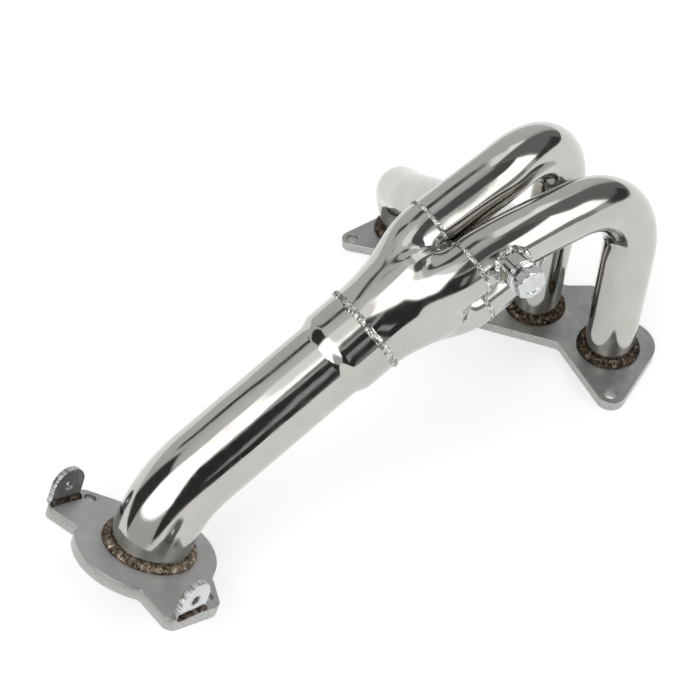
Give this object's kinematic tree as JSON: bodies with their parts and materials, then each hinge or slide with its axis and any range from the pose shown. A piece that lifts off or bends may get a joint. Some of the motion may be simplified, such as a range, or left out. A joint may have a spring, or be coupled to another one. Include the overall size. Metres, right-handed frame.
{
  "type": "exhaust manifold",
  "caption": "Tubular exhaust manifold for a four-cylinder engine: long curved primary tubes welded from a head flange into a collector, with a slip sleeve, downpipe and tilted outlet flange.",
  "frame": {"origin": "middle of the port row, on the head flange's mating face", "axes": "+X from port 4 to port 1, +Y away from the outlet, +Z square to the head flange, away from the cylinder head"},
  "size_m": [0.3267, 0.5435, 0.2491],
  "materials": {
    "polished_steel": "polished stainless tube, long clean reflections",
    "satin_steel": "satin laser-cut plate with faint mottling and brighter edges",
    "burnt_weld": "heat-tinted weld bead, dark brown with ripples",
    "bright_weld": "silver weld bead with sharp ripples and slight straw tint",
    "bright_zinc": "bright plated hexagon plug, tabs with machined edges"
  },
  "bodies": {
    "root": {"bracket_tab_left": "bright_zinc", "bracket_tab_right": "bright_zinc", "collector": "polished_steel", "collector_inlet_weld_1": "bright_weld", "collector_inlet_weld_2": "bright_weld", "collector_inlet_weld_3": "bright_weld", "collector_inlet_weld_4": "bright_weld", "collector_merge_plug": "bright_weld", "collector_outlet_weld": "bright_weld", "downpipe": "polished_steel", "head_flange": "satin_steel", "outlet_flange": "satin_steel", "outlet_flange_weld": "burnt_weld", "outlet_sleeve": "polished_steel", "plug_sealing_washer": "bright_zinc", "port_weld_1": "burnt_weld", "port_weld_2": "burnt_weld", "port_weld_3": "burnt_weld", "port_weld_4": "burnt_weld", "primary_tube_1": "polished_steel", "primary_tube_2": "polished_steel", "primary_tube_3": "polished_steel", "primary_tube_4": "polished_steel", "sensor_bung": "polished_steel", "sensor_bung_weld": "bright_weld", "sensor_port_plug": "bright_zinc", "tab_weld_left": "burnt_weld", "tab_weld_right": "burnt_weld"}
  },
  "joints": []
}
